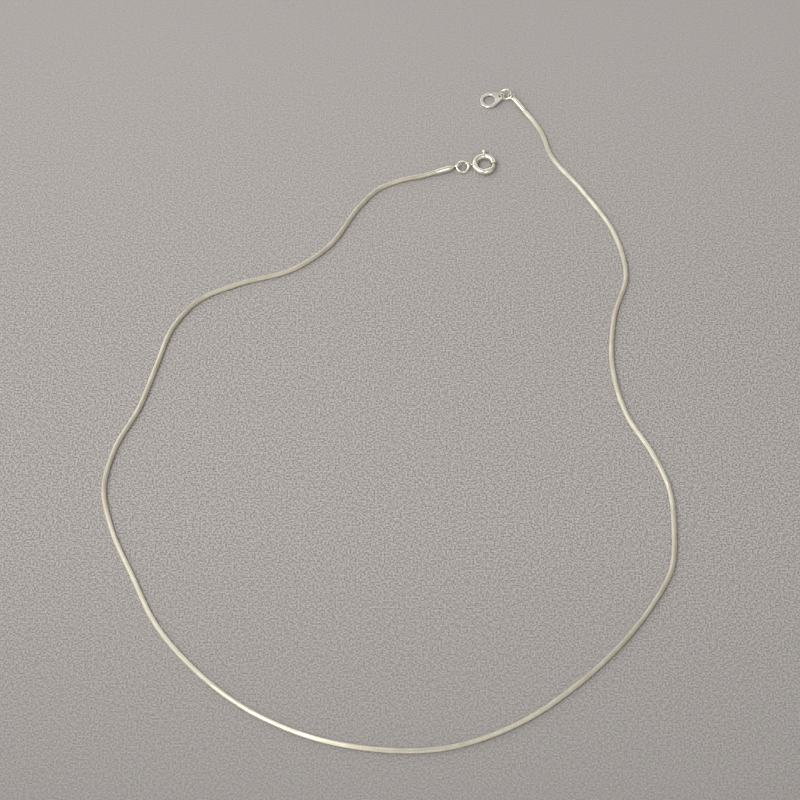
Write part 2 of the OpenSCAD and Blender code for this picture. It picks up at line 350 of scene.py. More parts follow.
def silver(name, bright, dull, roughness, scratch, joints=None, drawn_map=None):
    """Silver with patches and hairlines.

    joints names the mesh value that darkens the joints between bands. drawn_map names a UV
    map whose first direction runs across the drawn lines, the way that they spread a glint.
    """
    material, nodes, links, shader = new_material(name)
    patches = noise(nodes, links, PATCHES_PER_M, PATCHES_DETAIL)
    colour = blend_colours(nodes, links, patches, dull, bright)
    if joints:
        depth = nodes.new("ShaderNodeAttribute")
        depth.attribute_name = joints
        darken = nodes.new("ShaderNodeMix")
        darken.data_type = "RGBA"
        darken.inputs["B"].default_value = (*TARNISH, 1)
        links.new(depth.outputs["Fac"], darken.inputs["Factor"])
        links.new(colour, darken.inputs["A"])
        colour = darken.outputs["Result"]
    links.new(colour, shader.inputs["Base Color"])
    shader.inputs["Metallic"].default_value = 1.0

    wear = noise(nodes, links, WEAR_PER_M, WEAR_DETAIL)
    worn = map_range(nodes, links, wear, 0.0, 1.0, roughness * SMOOTHEST, roughness * ROUGHEST)
    links.new(worn, shader.inputs["Roughness"])

    if drawn_map:
        across = nodes.new("ShaderNodeTangent")
        across.direction_type = "UV_MAP"
        across.uv_map = drawn_map
        links.new(across.outputs["Tangent"], shader.inputs["Tangent"])
        shader.inputs["Anisotropic"].default_value = 1.0

    hairlines = nodes.new("ShaderNodeBump")
    hairlines.inputs["Strength"].default_value = scratch
    hairlines.inputs["Distance"].default_value = HAIRLINE_DEPTH
    lines = noise(nodes, links, HAIRLINES_PER_M, HAIRLINES_DETAIL, HAIRLINES_STRETCH)
    links.new(lines, hairlines.inputs["Height"])
    links.new(hairlines.outputs["Normal"], shader.inputs["Normal"])
    return material


chain_silver = silver("chain silver", CHAIN_BRIGHT, CHAIN_DULL, roughness=0.40, scratch=0.35,
                      joints="joint_depth", drawn_map="round_and_along")
polished_silver = silver("polished silver", POLISHED_BRIGHT, POLISHED_DULL, roughness=0.18, scratch=0.2)
wire_silver = silver("wire silver", WIRE_BRIGHT, WIRE_DULL, roughness=0.24, scratch=0.3)
print("finishes:", chain_silver.name, polished_silver.name, wire_silver.name)

# %% [markdown]
# Before the pieces, a few plain helpers. A round piece is a row of rings of points with
# faces between them, which is called a loft. A closed row makes a ring, an open row gets caps.
# Faces have to look outwards, or the metal is lit from inside, and bmesh can see to that.

# %% Helpers for lofts
def full_turn(steps):
    """The angles of that many even steps round a circle."""
    return [2 * math.pi * k / steps for k in range(steps)]


def loft(rings, closed=False):
    """Points and faces of a skin over rings that all have as many points."""
    count, around = len(rings), len(rings[0])
    points = [tuple(p) for ring in rings for p in ring]
    faces = []
    for i in range(count if closed else count - 1):
        a, b = i * around, (i + 1) % count * around
        for k in range(around):
            n = (k + 1) % around
            faces.append((a + k, a + n, b + n, b + k))
    if not closed:
        faces.append(tuple(reversed(range(around))))
        faces.append(tuple(range((count - 1) * around, count * around)))
    return points, faces


def solid(name, points, faces):
    """A mesh object of these points and faces, turned so that every face looks outwards."""
    mesh = bpy.data.meshes.new(name)
    mesh.from_pydata(points, [], faces)
    skin = bmesh.new()
    skin.from_mesh(mesh)
    bmesh.ops.recalc_face_normals(skin, faces=skin.faces)
    skin.to_mesh(mesh)
    skin.free()
    obj = bpy.data.objects.new(name, mesh)
    scene.collection.objects.link(obj)
    return obj


def solid_loft(name, rings, closed=False):
    """A solid over rings of points."""
    return solid(name, *loft(rings, closed))


octagon = [(math.cos(a), math.sin(a), 0) for a in full_turn(8)]
print("faces of a loft from one octagon to another:", len(loft([octagon, octagon])[1]))

# %% [markdown]
# Pieces that a jeweller solders are joined with a boolean, so that each is one skin of metal.
# Booleans lose very small faces, so each piece is built in millimetres and shrunk to metres
# only when it goes to its place. The weighted normals keep a wide face flat in the light and
# let only the narrow face on an edge turn, as a polished edge does.

# %% Helpers for solid metal
SHARP_DEG = 38


def keep_result(obj):
    """Obj's mesh becomes what its modifiers make of it."""
    seen = obj.evaluated_get(bpy.context.evaluated_depsgraph_get())
    result = bpy.data.meshes.new_from_object(seen)
    obj.modifiers.clear()
    old = obj.data
    obj.data = result
    bpy.data.meshes.remove(old)


def combine(obj, other, how):
    """Obj is joined with, or cut by, the other solid, which is then removed."""
    step = obj.modifiers.new(how, "BOOLEAN")
    step.operation = how
    step.solver = "EXACT"
    step.object = other
    keep_result(obj)
    mesh = other.data
    bpy.data.objects.remove(other)
    bpy.data.meshes.remove(mesh)


def finish_piece(obj, material, node, body="necklace", sharp_deg=SHARP_DEG):
    """Shades a piece, gives it its finish, and puts it in its node's place."""
    obj.data.materials.clear()
    obj.data.materials.append(material)
    obj.data.polygons.foreach_set("use_smooth", [True] * len(obj.data.polygons))
    obj.data.set_sharp_from_angle(angle=math.radians(sharp_deg))
    even = obj.modifiers.new("even light on wide faces", "WEIGHTED_NORMAL")
    even.keep_sharp = True
    keep_result(obj)
    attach(obj, body)
    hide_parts(node)
    print(node, "->", obj.name, len(obj.data.polygons), "faces")


print("edges of more than", SHARP_DEG, "degrees stay sharp")

# %% [markdown]
# The chain lies on a route of forty points, the same that its solid follows. Each has its
# place on the table and a rise, 0 where the chain lies and 1 at a sleeve's mouth. How high a
# mouth is follows from the eye at its sleeve's other end: the clasp's stands just above the
# table, and the tag's lies on the wire of its jump ring.

# %% The route on the table
CHAIN_D = 1.0
CHAIN_SIDES = 8
CHAIN_LEN = 388.4
SLEEVE_LEN = 4.8
EYE_D = 1.6
EYE_T = 0.35
JUMP_D = 3.0
JUMP_WIRE = 0.5
PERCH = 0.3
REST_GAP = 0.02

ROUTE = [
    (10.4, 56.1, 1), (7.6, 55.2, 0.75), (2.5, 54, 0.2),
    (-2.5, 51.5, 0), (-6, 47.5, 0), (-13, 36.5, 0), (-20, 31, 0),
    (-32, 27, 0), (-40, 23, 0), (-45, 16.5, 0), (-48, 7, 0),
    (-51, -3, 0), (-55.5, -13, 0), (-57, -22, 0), (-55, -30.5, 0),
    (-50, -41.5, 0), (-45, -51.5, 0), (-37.5, -60.5, 0), (-28.5, -68, 0),
    (-18, -73.5, 0), (-4, -77, 0), (11, -77, 0), (26, -71.5, 0),
    (36, -64.5, 0), (45, -56, 0), (52, -47, 0), (56, -39.5, 0),
    (57, -31, 0), (56.5, -21.5, 0), (53.5, -13.5, 0), (49, -5, 0),
    (46.5, 7.5, 0), (47.5, 19, 0), (50.5, 29.5, 0), (48.5, 40, 0),
    (42, 51.5, 0), (35.5, 61, 0), (33.8, 66.7, 0.05), (31.9, 70.3, 0.45),
    (30.1, 72.8, 1),
]

flat_r = CHAIN_D / 2 * math.cos(math.pi / CHAIN_SIDES)
lie_z = flat_r
clasp_eye_z = EYE_D / 2 + REST_GAP
tag_eye_z = JUMP_WIRE + EYE_T / 2 + PERCH


def mouth_lift(spots, eye_z, mouth, beside):
    """Height of a mouth above the lying chain, so that its sleeve's eye comes to eye_z."""
    apart = np.linalg.norm(spots[mouth, :2] - spots[beside, :2])
    rise = spots[mouth, 2] + (spots[mouth, 2] - spots[beside, 2]) * SLEEVE_LEN / apart
    return (eye_z - lie_z) / rise


def place_route():
    """The route's points in millimetres, with their heights."""
    spots = np.array(ROUTE, float)
    steps = np.linalg.norm(np.diff(spots[:, :2], axis=0), axis=1)
    spots[:, :2] *= CHAIN_LEN / steps.sum()
    clasp_lift = mouth_lift(spots, clasp_eye_z, 0, 1)
    tag_lift = mouth_lift(spots, tag_eye_z, -1, -2)
    nearer_clasp = np.arange(len(spots)) < len(spots) / 2
    spots[:, 2] = lie_z + spots[:, 2] * np.where(nearer_clasp, clasp_lift, tag_lift)
    return spots


spots = place_route()
print("points of the route:", len(spots), "highest, mm:", round(spots[:, 2].max(), 2))

# %% [markdown]
# Between two points the route is a cubic curve, and at a point its direction is the mean of
# the two spans that meet there, the shorter one counting for more. At both ends the chain goes
# on straight for two millimetres inside its sleeve, where the glue holds it.

# %% The curve through the route
CHAIN_GRIP = 2.0
STEPS_A_SPAN = 40


def unit(v):
    """The direction of a vector."""
    return v / np.linalg.norm(v)


def smooth_curve(spots):
    """The curve through the spots as many close points."""
    span = np.linalg.norm(np.diff(spots, axis=0), axis=1)
    chord = np.diff(spots, axis=0) / span[:, None]
    heading = np.empty_like(spots)
    heading[0], heading[-1] = chord[0], chord[-1]
    before, after = span[:-1, None], span[1:, None]
    heading[1:-1] = (chord[:-1] * after + chord[1:] * before) / (before + after)
    t = np.linspace(0, 1, STEPS_A_SPAN, endpoint=False)[:, None]
    pieces = []
    for i, length in enumerate(span):
        pieces.append(
            (2 * t**3 - 3 * t**2 + 1) * spots[i]
            + (t**3 - 2 * t**2 + t) * length * heading[i]
            + (3 * t**2 - 2 * t**3) * spots[i + 1]
            + (t**3 - t**2) * length * heading[i + 1]
        )
    curve = np.vstack(pieces + [spots[-1:]])
    curve[:, 2] = np.maximum(curve[:, 2], lie_z)
    return curve


clasp_axis = unit(spots[0] - spots[1])
tag_axis = unit(spots[-1] - spots[-2])
hidden_start = spots[0] + CHAIN_GRIP * clasp_axis
hidden_end = spots[-1] + CHAIN_GRIP * tag_axis
curve = np.vstack([hidden_start, smooth_curve(spots), hidden_end])
travelled = np.concatenate([[0], np.cumsum(np.linalg.norm(np.diff(curve, axis=0), axis=1))])
chain_total = travelled[-1]
print("chain between its hidden ends, mm:", round(chain_total, 1))

# %% [markdown]
# A snake chain is made of short wavy bands that are nested and joined into a tube, so close
# that it feels like a cord. This one is pressed into eight flat sides. Each band shows as one
# slanted bar on each side, and the slant changes at every corner, which gives the scaly look.
# We could copy one band several hundred times, but then each bend would need its own copy.
# Instead we sweep the tube along the route and give every band three rings of points: one down
# in the joint and one at each of its shoulders. Shifting those rings to and fro around the
# tube makes the zigzag. First we need the outline of the tube and the chain's place at any
# distance along the route.

# %% The chain's outline and line
CORNER_DEG = 4.5
LOOK_AHEAD = 0.15


def tube_outline():
    """Angle, distance from the middle and zigzag share of the points round the chain.

    Each side ends a little before its corner, so that the corner is a narrow bevel.
    """
    outline = []
    half = 180 / CHAIN_SIDES
    for side in range(CHAIN_SIDES):
        middle = side * 360 / CHAIN_SIDES
        slant = 1 if side % 2 == 0 else -1
        for offset in (-half + CORNER_DEG, half - CORNER_DEG):
            distance = flat_r / math.cos(math.radians(offset))
            outline.append((math.radians(middle + offset), distance, slant * offset / half))
    return np.array(outline)


def on_route(s):
    """Points of the route at distances s along it."""
    return np.stack([np.interp(s, travelled, curve[:, axis]) for axis in range(3)], axis=-1)


def way_on_route(s):
    """Directions of the route at distances s along it."""
    way = on_route(s + LOOK_AHEAD) - on_route(s - LOOK_AHEAD)
    return way / np.linalg.norm(way, axis=-1, keepdims=True)


outline = tube_outline()
print("points round the chain:", len(outline))

# %% [markdown]
# The chain also turns slowly about its own line, as a chain that is dropped on a table does,
# so that here and there another side faces the light. We choose the turns at a few shares of
# its length, by where the photograph shows a bright stretch begin or end.

# %% The chain's bands
BAND = 0.42
# Place of each ring as a share of its band, and its depth as a share of a joint's
BAND_RINGS = ((0.0, 1.0), (0.1, 0.0), (0.9, 0.0))
JOINT_DEPTH = 0.045
ZIGZAG = 0.08

# Share of the chain's length, then its turn there in degrees
TURNS = (
    (0.00, 0), (0.06, 4), (0.13, 6), (0.17, 16), (0.25, 14), (0.275, 8), (0.30, -4),
    (0.35, -1), (0.375, 6), (0.40, -2), (0.42, 15), (0.455, 15), (0.475, -6), (0.60, -4),
    (0.68, -14), (0.80, -19), (0.86, -20), (0.88, -8), (0.90, -18), (0.93, -20),
    (0.95, 0), (1.00, 4),
)


def ring_places(bands):
    """Place of every ring of points, counted in bands, and its depth."""
    share, depth = np.array(BAND_RINGS).T
    place = np.concatenate([(np.arange(bands)[:, None] + share).ravel(), [bands]])
    return place, np.concatenate([np.tile(depth, bands), [1.0]])


def chain_rings(bands):
    """The points of every ring round the chain, and each ring's depth."""
    place, depth = ring_places(bands)
    middle_s = place * (chain_total / bands)
    to_end = np.minimum(middle_s, chain_total - middle_s)
    # the zigzag fades out at both ends, so that they are cut square
    zigzag = ZIGZAG * outline[None, :, 2] * np.clip(to_end / (2 * ZIGZAG), 0, 1)[:, None]
    s = np.clip(middle_s[:, None] + zigzag, 0, chain_total)
    way = way_on_route(s)
    side = np.cross(way, (0.0, 0.0, 1.0))
    side /= np.linalg.norm(side, axis=-1, keepdims=True)
    up = np.cross(side, way)
    turn_at, turn_deg = np.array(TURNS).T
    angle = outline[None, :, 0] + np.radians(np.interp(s / chain_total, turn_at, turn_deg))
    outward = np.cos(angle)[..., None] * side + np.sin(angle)[..., None] * up
    distance = outline[None, :, 1] - JOINT_DEPTH * depth[:, None]
    rings = on_route(s) + distance[..., None] * outward
    # a turned chain stands on a corner, so each ring is lifted by the lowest point near it
    lowest = rings[..., 2].min(axis=1)
    nearby = np.minimum(np.minimum(lowest, np.roll(lowest, 2)), np.roll(lowest, -2))
    rings[..., 2] += np.maximum(0, -nearby)[:, None]
    return rings, depth


band_count = round(chain_total / BAND)
rings, ring_depth = chain_rings(band_count)
chain = solid_loft("snake_chain_bands", rings)
print("bands:", band_count, "pitch, mm:", round(chain_total / band_count, 3))

# %% [markdown]
# Two things have to go with the mesh for its finish. The first is a value at each point that
# says how deep in a joint it lies, for the tarnish. The second is a UV map that runs round the
# chain and along it, for the direction of the drawn lines. Then the chain is ready to shrink
# to metres and to take the place of its plain solid.

# %% Dress the chain
JOINT_DARK = 0.5
CHAIN_SHARP_DEG = 30


def map_round_and_along(obj, around):
    """A UV map with u round the tube and v along it, for the direction of the drawn lines."""
    mesh = obj.data
    corner_point = np.empty(len(mesh.loops), int)
    mesh.loops.foreach_get("vertex_index", corner_point)
    u = corner_point % around
    v = corner_point // around
    # the side faces come first, the two caps last. Where a side face closes the turn, its
    # corners at u = 0 are moved on to the end of the turn, so that the face isn't folded back
    side_corners = len(mesh.loops) - 2 * around
    sides = u[:side_corners].reshape(-1, 4)
    wraps = np.ptp(sides, axis=1) > 1
    sides[wraps] = np.where(sides[wraps] == 0, around, sides[wraps])
    layer = mesh.uv_layers.new(name="round_and_along")
    places = np.stack([u / around, v / v.max()], axis=1).astype(np.float32)
    layer.uv.foreach_set("vector", places.ravel())


map_round_and_along(chain, len(outline))
joint_depth = chain.data.attributes.new("joint_depth", "FLOAT", "POINT")
joint_depth.data.foreach_set("value", np.repeat(ring_depth, len(outline)) * JOINT_DARK)
chain.data.transform(Matrix.Scale(MM, 4))
finish_piece(chain, chain_silver, "snake_chain", sharp_deg=CHAIN_SHARP_DEG)

# %% [markdown]
# The small fittings share three shapes: a section that goes from round to squarish and flat, a
# flat ring with rounded edges, and a round rod, which serves as a drill or as a peg. A rounded
# edge is a quarter turn in four short steps, enough for a glint to run along it.

# %% Sections, flat rings and rods
ROUND_STEPS = 40
EDGE_STEPS = 4
EDGE_STEP_DEG = 22.5
BAND_STEPS = 56
ROD_STEPS = 48


def flattened(x, half_width, half_height, squareness=2.0):
    """A ring of points across X: a circle at squareness 2, squarer above that."""
    ring = []
    for a in full_turn(ROUND_STEPS):
        y = math.copysign(abs(math.cos(a)) ** (2 / squareness), math.cos(a)) * half_width
        z = math.copysign(abs(math.sin(a)) ** (2 / squareness), math.sin(a)) * half_height
        ring.append((x, y, z))
    return ring


def rounded_band(inner_r, outer_r, thickness, edge):
    """A flat ring about Z with rounded edges, as the rings of a closed loft."""
    high = thickness / 2 - edge
    outer, inner = outer_r - edge, inner_r + edge
    profile = []
    for cx, cz, start in ((outer, high, 0), (inner, high, 90), (inner, -high, 180), (outer, -high, 270)):
        for step in range(EDGE_STEPS + 1):
            a = math.radians(start + step * EDGE_STEP_DEG)
            profile.append((cx + edge * math.cos(a), cz + edge * math.sin(a)))
    return [[(r * math.cos(a), r * math.sin(a), z) for r, z in profile] for a in full_turn(BAND_STEPS)]


def rod(name, radius, start, end, steps=ROD_STEPS):
    """A round rod between two points, in millimetres."""
    start, end = Vector(start), Vector(end)
    turn = (end - start).to_track_quat("Z", "Y").to_matrix()
    rim = [turn @ Vector((radius * math.cos(a), radius * math.sin(a), 0)) for a in full_turn(steps)]
    return solid_loft(name, [[spot + offset for offset in rim] for spot in (start, end)])


print("points round a section:", len(flattened(0, 1, 1)))

# %% [markdown]
# Each end of the chain is glued into a small turned sleeve. Its far end is flattened and
# pierced, so a jump ring can go through. We loft it from round sections at the mouth to flat
# ones at the neck, drill it for the chain, and solder a rounded eye on the neck.

# %% End sleeves
CHAIN_FIT = 0.03
SLEEVE_WALL = 0.08
SLEEVE_BODY_D = 1.4
NECK_LEN = 1.15
# The neck's first section lies at this share of the round body
NECK_FROM = 0.92
EYE_HOLE_D = 1.05
EYE_EDGE = 0.11
BORE_END_GAP = 0.3
CUT_OVER = 1.0
# Distance from the mouth and inset of the sections that round its rim
MOUTH_RIM = ((0.0, 0.035), (0.02, 0.01), (0.06, 0.0))

bore_r = CHAIN_D / 2 + CHAIN_FIT


def sleeve_sections():
    """The sleeve's outside as rings of points, from its mouth to its neck."""
    mouth_r = bore_r + SLEEVE_WALL
    body_r = SLEEVE_BODY_D / 2
    body_len = SLEEVE_LEN - EYE_D / 2 - NECK_LEN
    flat = EYE_T / 2
    sections = [flattened(x, mouth_r - inset, mouth_r - inset) for x, inset in MOUTH_RIM]
    for share in (0.2, 0.4, 0.6, 0.8):
        r = mouth_r + (body_r - mouth_r) * share
        sections.append(flattened(share * body_len, r, r))
    neck_from = body_len * NECK_FROM
    neck_to = SLEEVE_LEN - EYE_HOLE_D / 2
    # share of the neck's length, half width, half height and squareness
    for share, width, height, squareness in (
        (0.0, body_r - 0.01, body_r - 0.01, 2.0), (0.15, body_r - 0.015, body_r * 0.96, 2.05),
        (0.3, body_r - 0.03, body_r * 0.9, 2.1), (0.45, body_r * 0.93, body_r * 0.8, 2.2),
        (0.6, body_r * 0.88, body_r * 0.66, 2.4), (0.74, body_r * 0.84, body_r * 0.48, 2.7),
        (0.88, body_r * 0.81, flat * 1.25, 3.1), (1.0, body_r * 0.79, flat * 0.94, 3.4),
    ):
        x = neck_from + share * (neck_to - neck_from)
        sections.append(flattened(x, width, height, squareness))
    return sections


def pierced_eye(name):
    """A flat eye with rounded edges, its hole along Z."""
    return solid_loft(name, rounded_band(EYE_HOLE_D / 2, EYE_D / 2, EYE_T, EYE_EDGE), closed=True)


def sleeve(name):
    """A sleeve along +X from its mouth, with its eye flat in the XY plane."""
    body = solid_loft(name, sleeve_sections())
    bore = rod("bore", bore_r, (-CUT_OVER, 0, 0), (CHAIN_GRIP + BORE_END_GAP, 0, 0))
    combine(body, bore, "DIFFERENCE")
    # the neck is cut a little wider than the eye's hole, so that the eye's edge stays whole
    clear_r = EYE_HOLE_D / 2 + EYE_T / 4
    hole = rod("hole", clear_r, (SLEEVE_LEN, 0, -CUT_OVER), (SLEEVE_LEN, 0, CUT_OVER))
    combine(body, hole, "DIFFERENCE")
    ring = pierced_eye("eye")
    ring.data.transform(Matrix.Translation((SLEEVE_LEN, 0, 0)))
    combine(body, ring, "UNION")
    return body


clasp_sleeve = sleeve("clasp_end_sleeve")
tag_sleeve = sleeve("tag_end_sleeve")
print("sleeve's bore, mm:", 2 * bore_r, "faces:", len(clasp_sleeve.data.polygons))

# %% [markdown]
# A sleeve points along the chain's last span. The tag's sleeve lies with its eye flat. The
# clasp's sleeve is rolled until its eye faces along the wire of its jump ring, which lies
# tilted with one side on the table. We move the mesh and leave the object at the origin,
# because the frame is shared: every object then has the same zero.

# %% Put the sleeves on the chain
SLACK_DEG = 14

jump_r = (JUMP_D - JUMP_WIRE) / 2
slack = math.radians(SLACK_DEG)
lie_offset = jump_r * math.sin(slack)
lie_tilt = math.asin((clasp_eye_z - JUMP_WIRE / 2 - REST_GAP) / (lie_offset + jump_r))
clasp_eye_roll = 90 + math.degrees(math.asin(math.cos(slack) * math.sin(lie_tilt)))


def point_along(direction, roll_deg):
    """Turns +X onto a direction after a roll about it."""
    x, y, z = direction
    yaw = Matrix.Rotation(math.atan2(y, x), 4, "Z")
    pitch = Matrix.Rotation(-math.asin(z), 4, "Y")
    return yaw @ pitch @ Matrix.Rotation(math.radians(roll_deg), 4, "X")


def put(obj, turn, where_mm):
    """Moves a piece's mesh to its place, so that the object itself stays at the origin."""
    obj.data.transform(Matrix.Scale(MM, 4) @ Matrix.Translation(Vector(where_mm)) @ turn)


put(clasp_sleeve, point_along(clasp_axis, clasp_eye_roll), spots[0])
put(tag_sleeve, point_along(tag_axis, 0), spots[-1])
finish_piece(clasp_sleeve, polished_silver, "clasp_sleeve")
finish_piece(tag_sleeve, polished_silver, "tag_sleeve")

# %% [markdown]
# A jump ring is a turn of drawn wire, cut once. The two ends meet at the cut but never quite
# line up, and that fine step is what tells a jump ring from a cast one. So we sweep the wire
# round almost a full turn, close both ends with small rounded caps, and let one end sit high.

# %% Jump rings
CUT_DEG = 2.2
END_STEP = 0.05
WIRE_EDGE = 0.04
CLASP_CUT_AT = 118
TAG_CUT_AT = 125


def bent_section(ring_r, wire_r, turn_deg, around, lift=0.0):
    """A round section at one angle of a wire or tube that is bent about Z."""
    turn = math.radians(turn_deg)
    ring = []
    for a in full_turn(around):
        out = ring_r + wire_r * math.cos(a)
        ring.append((out * math.cos(turn), out * math.sin(turn), lift + wire_r * math.sin(a)))
    return ring


def arc_of_wire(name, ring_r, wire_r, from_deg, to_deg, rise=0.0, edge=WIRE_EDGE, steps=96, around=24):
    """Wire bent about Z, its ends a little rounded, rising by a small step on the way."""
    ease = math.degrees(edge / ring_r)
    # how far a section lies from its end, as a share of the rounding, and how far it is drawn in
    rounding = ((0.0, 1.0), (0.3, 0.3), (1.0, 0.0))
    stops = [(from_deg + ease * share, wire_r - edge * inset) for share, inset in rounding]
    stops += [(a, wire_r) for a in np.linspace(from_deg + ease, to_deg - ease, steps)[1:-1]]
    stops += [(to_deg - ease * share, wire_r - edge * inset) for share, inset in reversed(rounding)]
    rings = []
    for turn_deg, r in stops:
        lift = rise * (turn_deg - from_deg) / (to_deg - from_deg) - rise / 2
        rings.append(bent_section(ring_r, r, turn_deg, around, lift))
    return solid_loft(name, rings)


def jump_ring(name, cut_at_deg):
    """A jump ring about Z with its cut at that angle."""
    first, last = cut_at_deg + CUT_DEG / 2, cut_at_deg + 360 - CUT_DEG / 2
    return arc_of_wire(name, jump_r, JUMP_WIRE / 2, first, last, END_STEP)


clasp_jump = jump_ring("clasp_side_jump_ring", CLASP_CUT_AT)
tag_jump = jump_ring("tag_side_jump_ring", TAG_CUT_AT)
print("jump rings, mm:", JUMP_D, "wire, mm:", JUMP_WIRE)

# %% [markdown]
# Each jump ring goes through a sleeve's eye. The clasp's ring lies down: it leans on the table
# with its near side, and its middle is a little off the line between the two eyes that it
# joins. The tag's ring stands on the table, leans back, and carries both eyes on its wire.

# %% Link the jump rings
CLASP_LINK_DIR = 10
STAND_DIR = 0
STAND_LEAN = 18


def level(angle_deg):
    """A level direction, in degrees from +X."""
    return np.array([math.cos(math.radians(angle_deg)), math.sin(math.radians(angle_deg)), 0.0])


def turn_about(axis, angle):
    """A turn about one of the axes, in radians."""
    return Matrix.Rotation(angle, 4, axis)


clasp_eye = spots[0] + SLEEVE_LEN * clasp_axis
eyelet_at = np.array([clasp_eye[0], clasp_eye[1], clasp_eye_z])
eyelet_at = eyelet_at + 2 * jump_r * math.cos(slack) * level(CLASP_LINK_DIR)
near_side = math.cos(lie_tilt) * level(CLASP_LINK_DIR - 90) - np.array([0, 0, math.sin(lie_tilt)])
lying_ring_at = (clasp_eye + eyelet_at) / 2 + lie_offset * near_side
lying_turn = turn_about("Z", math.radians(CLASP_LINK_DIR)) @ turn_about("X", lie_tilt)
put(clasp_jump, lying_turn, lying_ring_at)
finish_piece(clasp_jump, wire_silver, "clasp_jump_ring")

tag_eye = spots[-1] + SLEEVE_LEN * tag_axis
lean = math.radians(STAND_LEAN)
stand_z = jump_r * math.cos(lean) + JUMP_WIRE / 2 + REST_GAP
eye_drop = (tag_eye[2] - stand_z) / math.cos(lean)
eye_reach = math.sqrt(jump_r**2 - eye_drop**2)
stand_up = math.cos(lean) * np.array([0, 0, 1.0]) + math.sin(lean) * level(STAND_DIR + 90)
standing_ring_at = tag_eye - eye_drop * stand_up - eye_reach * level(STAND_DIR)
standing_turn = turn_about("Z", math.radians(STAND_DIR)) @ turn_about("X", math.pi / 2 - lean)
put(tag_jump, standing_turn, standing_ring_at)
finish_piece(tag_jump, wire_silver, "tag_jump_ring")

# %% [markdown]
# The clasp is a ring bent from thin tube. It has a mouth on one side, a slot in its outer
# wall for the bolt's lever, and an eyelet on a short stem that is soldered on its back. We
# need a tube with a wall for the ring, and a bent bar of the slot's size as a saw for it.

# %% Shapes for the spring ring
TUBE_STEPS = 128
TUBE_AROUND = 40
LIP = 0.03
# How far in the lip's middle section lies, and how far it is drawn in, as shares of the lip
LIP_IN = 0.35
LIP_INSET = 0.3
SAW_STEPS = 40


def bent_tube(name, ring_r, outer_r, inner_r, from_deg, to_deg):
    """A tube with its wall, bent about Z: the outer skin out and the inner skin back."""
    ease = math.degrees(LIP / ring_r)
    middle = np.linspace(from_deg + ease, to_deg - ease, TUBE_STEPS)
    stops = [(from_deg, outer_r - LIP), (from_deg + ease * LIP_IN, outer_r - LIP * LIP_INSET)]
    stops += [(a, outer_r) for a in middle]
    stops += [(to_deg - ease * LIP_IN, outer_r - LIP * LIP_INSET), (to_deg, outer_r - LIP)]
    stops += [(to_deg, inner_r + LIP), (to_deg - ease, inner_r)]
    stops += [(a, inner_r) for a in reversed(middle[1:-1])]
    stops += [(from_deg + ease, inner_r), (from_deg, inner_r + LIP)]
    rings = [bent_section(ring_r, r, turn_deg, TUBE_AROUND) for turn_deg, r in stops]
    return solid_loft(name, rings, closed=True)


def bent_bar(name, from_r, to_r, half_height, from_deg, to_deg):
    """A square bar bent about Z, for sawing a slot."""
    corners = ((from_r, -half_height), (to_r, -half_height), (to_r, half_height), (from_r, half_height))
    rings = []
    for turn_deg in np.linspace(from_deg, to_deg, SAW_STEPS):
        turn = math.radians(turn_deg)
        rings.append([(r * math.cos(turn), r * math.sin(turn), z) for r, z in corners])
    return solid_loft(name, rings)


print("sections along the ring's tube:", TUBE_STEPS)

# %% [markdown]
# Now the ring itself. We bend the tube up to its mouth, saw the slot where the lever travels,
# and solder the eyelet on. The eyelet stands upright, so that the lying jump ring goes through.

# %% Spring ring
CLASP_D = 5.5
CLASP_TUBE_D = 1.3
CLASP_WALL = 0.15
CLASP_DIR = 3
MOUTH_FROM_DEG = -48
MOUTH_DEG = 46
LEVER_DEG = 87
BOLT_TRAVEL_DEG = 50
LEVER_NECK_D = 0.4
SLOT_FIT = 0.1
EYELET_LAND = 0.3
STEM_SHARE = 1.3
STEM_STEPS = 24

clasp_ring_r = (CLASP_D - CLASP_TUBE_D) / 2
eyelet_r = CLASP_D / 2 + EYELET_LAND + EYE_HOLE_D / 2
clasp_at = eyelet_at + eyelet_r * level(CLASP_DIR)
clasp_turn = turn_about("Z", math.radians(CLASP_DIR))


def spring_ring():
    """The hollow ring about Z with its slot and eyelet, the eyelet towards -X."""
    outer_r = CLASP_TUBE_D / 2
    ring = bent_tube("sprung_clasp_ring", clasp_ring_r, outer_r, outer_r - CLASP_WALL,
                     MOUTH_FROM_DEG + MOUTH_DEG, MOUTH_FROM_DEG + 360)
    slot_half = LEVER_NECK_D / 2 + SLOT_FIT
    slot_deg = math.degrees(math.asin(slot_half / clasp_ring_r))
    slot = bent_bar("slot", clasp_ring_r, clasp_ring_r + CLASP_TUBE_D, slot_half,
                    LEVER_DEG - slot_deg, LEVER_DEG + BOLT_TRAVEL_DEG + slot_deg)
    combine(ring, slot, "DIFFERENCE")
    eyelet = pierced_eye("eyelet")
    upright = Matrix.Translation((-eyelet_r, 0, 0)) @ turn_about("X", math.pi / 2)
    eyelet.data.transform(upright)
    stem_from = (CLASP_D - CLASP_WALL) / 2
    stem_to = eyelet_r - EYE_HOLE_D / 2 - EYE_T / 4
    stem_r = EYE_T * STEM_SHARE / 2
    combine(eyelet, rod("stem", stem_r, (-stem_from, 0, 0), (-stem_to, 0, 0), STEM_STEPS), "UNION")
    combine(ring, eyelet, "UNION")
    return ring


clasp_ring = spring_ring()
put(clasp_ring, clasp_turn, clasp_at)
finish_piece(clasp_ring, polished_silver, "spring_ring")

# %% [markdown]
# The bolt is a bent wire that slides inside the ring and closes its mouth. The lever is a
# small peg with a round head, set in the bolt and standing out of the slot. A coil spring
# behind the bolt pushes it shut. It is never seen, so we leave it out.

